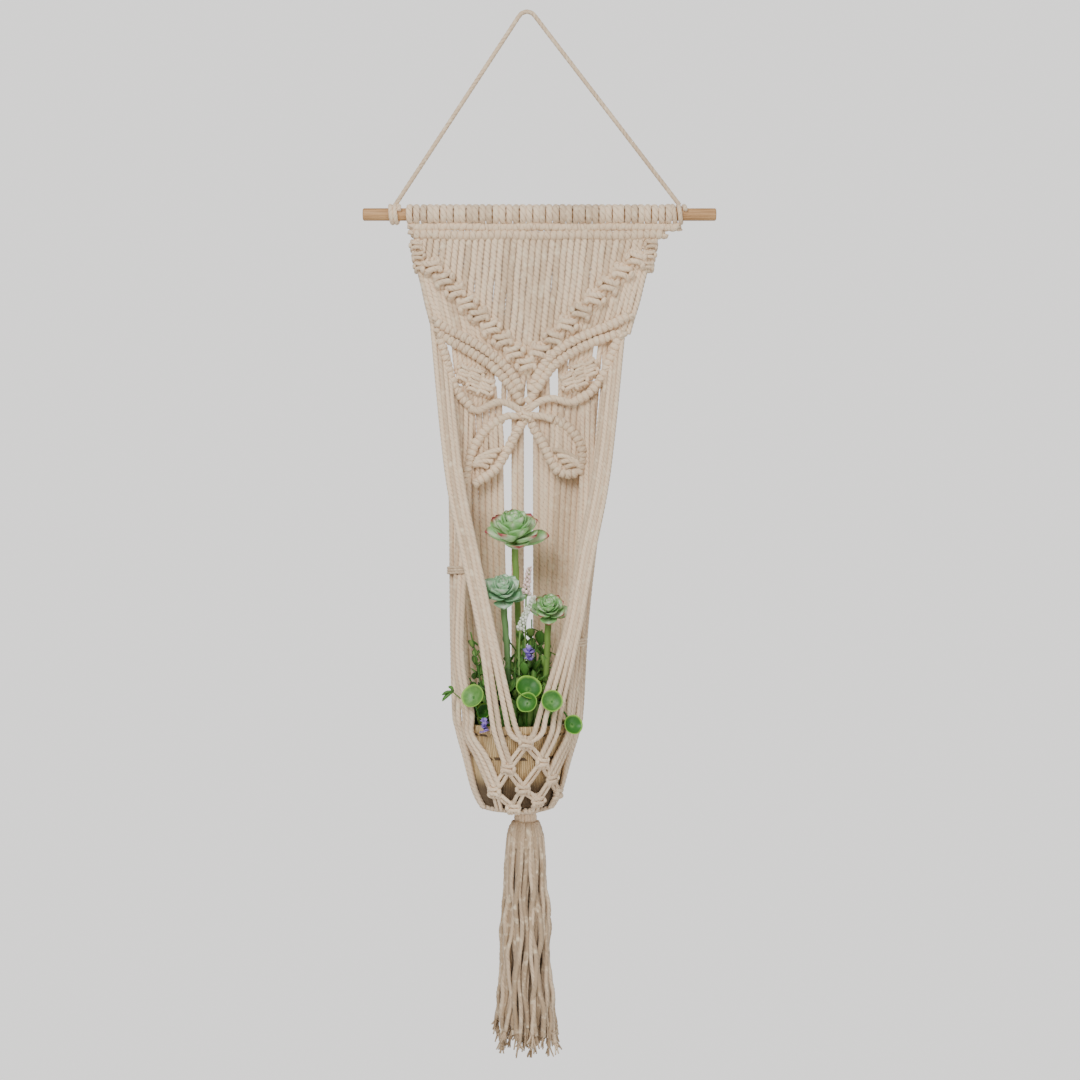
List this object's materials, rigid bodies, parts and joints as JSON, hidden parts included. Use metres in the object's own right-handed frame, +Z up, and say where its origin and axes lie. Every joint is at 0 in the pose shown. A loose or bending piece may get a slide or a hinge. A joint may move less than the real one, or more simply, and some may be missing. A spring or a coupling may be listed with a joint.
{
  "type": "hanging planter",
  "caption": "Hanging macrame planter: a knotted cotton cord curtain on a wooden dowel, with a basket of artificial plants in its net cradle and a tassel below.",
  "frame": {"origin": "underside of the hanging cord's loop, where it rests on its hook", "axes": "+X along the dowel, to the right for a viewer in front; -Y towards the viewer, +Y to the wall; +Z up"},
  "size_m": [0.353, 0.127, 1.0316],
  "materials": {
    "cotton": "undyed cotton cord",
    "dowel_wood": "unfinished, fine grain",
    "wicker": "woven straw basket",
    "potting_foam": "dark filler",
    "leaf_green": "soft satin",
    "pale_green": "soft satin",
    "deep_green": "soft satin",
    "flower_white": "matt",
    "flower_purple": "matt"
  },
  "bodies": {
    "root": {"hanging_cord": "cotton", "hanging_tie_left": "cotton", "hanging_tie_right": "cotton"},
    "dowel": {"dowel": "dowel_wood"},
    "curtain": {"mounting_knots": "cotton", "header_row_upper": "cotton", "header_row_lower": "cotton", "upper_strands": "cotton", "edge_knots_left": "cotton", "edge_knots_right": "cotton", "v_knots_left": "cotton", "v_knots_right": "cotton", "middle_strands": "cotton", "wing_upper_left": "cotton", "wing_upper_right": "cotton", "wing_upper_left_fill": "cotton", "wing_upper_right_fill": "cotton", "wing_lower_left": "cotton", "wing_lower_right": "cotton", "wing_lower_left_fill": "cotton", "wing_lower_right_fill": "cotton", "body_knot": "cotton", "back_strands": "cotton", "front_cords_left": "cotton", "front_cords_right": "cotton", "side_cords_left": "cotton", "side_cords_right": "cotton", "binding_left": "cotton", "binding_right": "cotton", "net_knots": "cotton", "net_cords": "cotton", "cradle_gather": "cotton"},
    "neck": {"gathering_knot": "cotton"},
    "tassel": {"tassel_head": "cotton", "tassel_strands": "cotton"},
    "pot": {"pot": "wicker", "soil": "potting_foam", "rosette_top": "leaf_green", "rosette_left": "pale_green", "rosette_right": "leaf_green", "cup_leaves": "leaf_green", "foliage": "deep_green", "flower_spikes": "flower_white", "purple_flowers": "flower_purple"}
  },
  "joints": [
    {"name": "dowel_roll", "type": "hinge", "parent": "root", "child": "dowel", "pos_m": [0, 0, -0.2005], "axis": [1, 0, 0], "continuous": true},
    {"name": "curtain_swing", "type": "hinge", "parent": "root", "child": "curtain", "pos_m": [0, 0, -0.2005], "axis": [-1, 0, 0], "range_deg": [0, 50]},
    {"name": "tassel_swing_front", "type": "hinge", "parent": "curtain", "child": "neck", "pos_m": [-0.001, -0.057, -0.795], "axis": [1, 0, 0], "range_deg": [-20, 20]},
    {"name": "tassel_swing_side", "type": "hinge", "parent": "neck", "child": "tassel", "pos_m": [-0.001, -0.057, -0.795], "axis": [0, 1, 0], "range_deg": [-20, 20]},
    {"name": "pot_lift", "type": "slide", "parent": "curtain", "child": "pot", "axis": [0, 0, 1], "range_m": [0, 0.012]}
  ]
}
